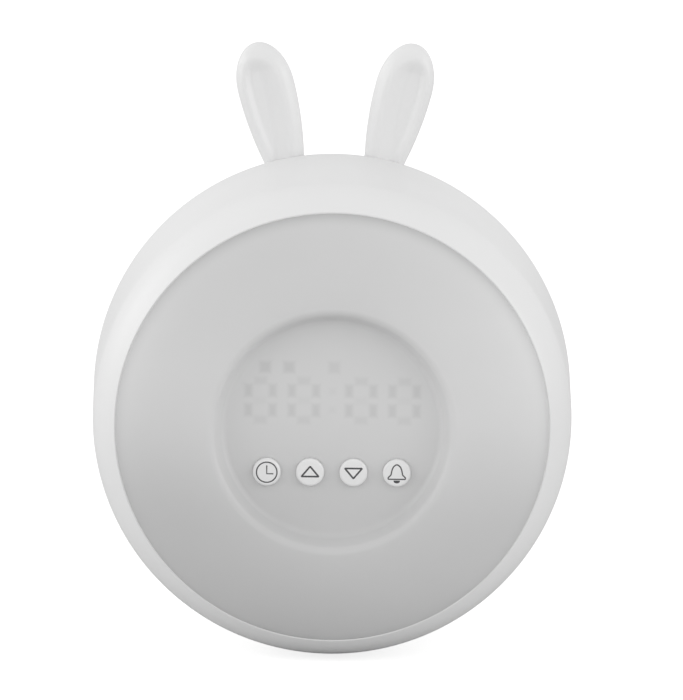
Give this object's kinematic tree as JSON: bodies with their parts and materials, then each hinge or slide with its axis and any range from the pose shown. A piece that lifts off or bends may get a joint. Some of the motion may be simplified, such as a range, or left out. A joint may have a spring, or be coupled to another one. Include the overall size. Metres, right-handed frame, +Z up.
{
  "type": "night light alarm clock",
  "caption": "Round table alarm clock with a milky light ring, a recessed digit display, front push buttons and two upright ears.",
  "frame": {"origin": "on the table under the middle of the clock's box", "axes": "+Z up, the face looks along -Y, +X to the viewer's right"},
  "size_m": [0.145, 0.098, 0.1797],
  "materials": {
    "shell_plastic": "satin moulded white",
    "milky_plastic": "milky translucent white, satin",
    "button_plastic": "white with printed dark icons",
    "frame_plastic": "moulded white",
    "foot_rubber": "soft pale grey",
    "screw_steel": "plated",
    "lamp_board_white": "white solder mask",
    "board_green": "green solder mask",
    "led_resin": "clear yellow resin",
    "black_plastic": "moulded black",
    "grey_plastic": "moulded grey",
    "socket_plastic": "ivory",
    "pressed_steel": "pressed",
    "cone_paper": "pressed film",
    "magnet_steel": "nickel plated",
    "cell_sleeve": "plain printed sleeve",
    "contact_steel": "nickel plated spring steel",
    "socket_steel": "drawn",
    "lead_sleeve": "soft sleeve"
  },
  "bodies": {
    "root": {"rear_shell": "shell_plastic", "foot_pad": "foot_rubber", "left_ear": "shell_plastic", "right_ear": "shell_plastic", "ear_screws": "screw_steel", "front_diffuser": "milky_plastic", "inner_frame": "frame_plastic", "case_screws": "screw_steel", "lamp_board": "lamp_board_white", "lamp_leds": "led_resin", "main_board": "board_green", "digit_leds": "led_resin", "display_mask": "frame_plastic", "key_switches": "black_plastic", "board_screws": "screw_steel", "control_chip": "black_plastic", "lead_sockets": "socket_plastic", "speaker_frame": "pressed_steel", "speaker_cone": "cone_paper", "speaker_magnet": "magnet_steel", "speaker_screws": "screw_steel", "battery_cells": "cell_sleeve", "battery_contacts": "contact_steel", "power_board": "board_green", "power_socket": "socket_steel", "power_switch": "black_plastic", "power_screws": "screw_steel", "speaker_lead": "lead_sleeve", "power_lead": "lead_sleeve", "battery_lead": "lead_sleeve"},
    "time_key": {"time_button": "button_plastic", "time_plunger": "grey_plastic"},
    "up_key": {"up_button": "button_plastic", "up_plunger": "grey_plastic"},
    "down_key": {"down_button": "button_plastic", "down_plunger": "grey_plastic"},
    "alarm_key": {"alarm_button": "button_plastic", "alarm_plunger": "grey_plastic"},
    "switch_slider": {"switch_knob": "black_plastic"},
    "door": {"battery_door": "shell_plastic", "door_screws": "screw_steel"}
  },
  "joints": [
    {"name": "time_press", "type": "slide", "parent": "root", "child": "time_key", "axis": [0, 1, 0], "range_m": [0, 0.0006], "stiffness_N_per_m": 1500},
    {"name": "up_press", "type": "slide", "parent": "root", "child": "up_key", "axis": [0, 1, 0], "range_m": [0, 0.0006], "stiffness_N_per_m": 1500},
    {"name": "down_press", "type": "slide", "parent": "root", "child": "down_key", "axis": [0, 1, 0], "range_m": [0, 0.0006], "stiffness_N_per_m": 1500},
    {"name": "alarm_press", "type": "slide", "parent": "root", "child": "alarm_key", "axis": [0, 1, 0], "range_m": [0, 0.0006], "stiffness_N_per_m": 1500},
    {"name": "switch_slide", "type": "slide", "parent": "root", "child": "switch_slider", "axis": [1, 0, 0], "range_m": [0, 0.002]},
    {"name": "door_lift", "type": "slide", "parent": "root", "child": "door", "axis": [0, 1, 0], "range_m": [0, 0.03]}
  ]
}
